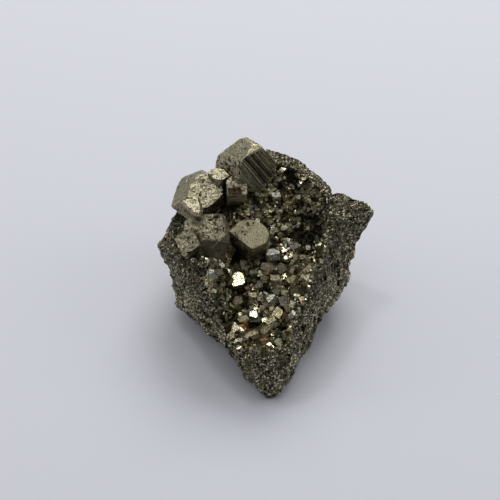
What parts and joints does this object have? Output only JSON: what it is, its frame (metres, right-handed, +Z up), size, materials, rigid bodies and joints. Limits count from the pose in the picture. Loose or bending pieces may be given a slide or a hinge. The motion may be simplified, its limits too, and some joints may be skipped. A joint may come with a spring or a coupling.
{
  "type": "pyrite specimen",
  "caption": "Pyrite mineral specimen: a rough wedge-shaped block with a pocket of small crystals open at the top and large crystals standing on its rim. Rests on a flat facet.",
  "frame": {"origin": "middle of the flat facet that the specimen rests on", "axes": "+Z up; the narrow prow points to -Y, the horn to +X, and the brow, the highest edge, lies towards +Y"},
  "size_m": [0.0503, 0.0535, 0.0352],
  "materials": {
    "matrix": "rough granular, dull metallic sparkle",
    "crystal": "metallic, pitted and striated",
    "druse": "bright metallic facets"
  },
  "bodies": {
    "root": {"matrix": "matrix", "pocket_crust": "druse", "rim_crystals": "crystal", "rough_crystal": "crystal", "middle_crystal": "crystal"}
  },
  "joints": []
}
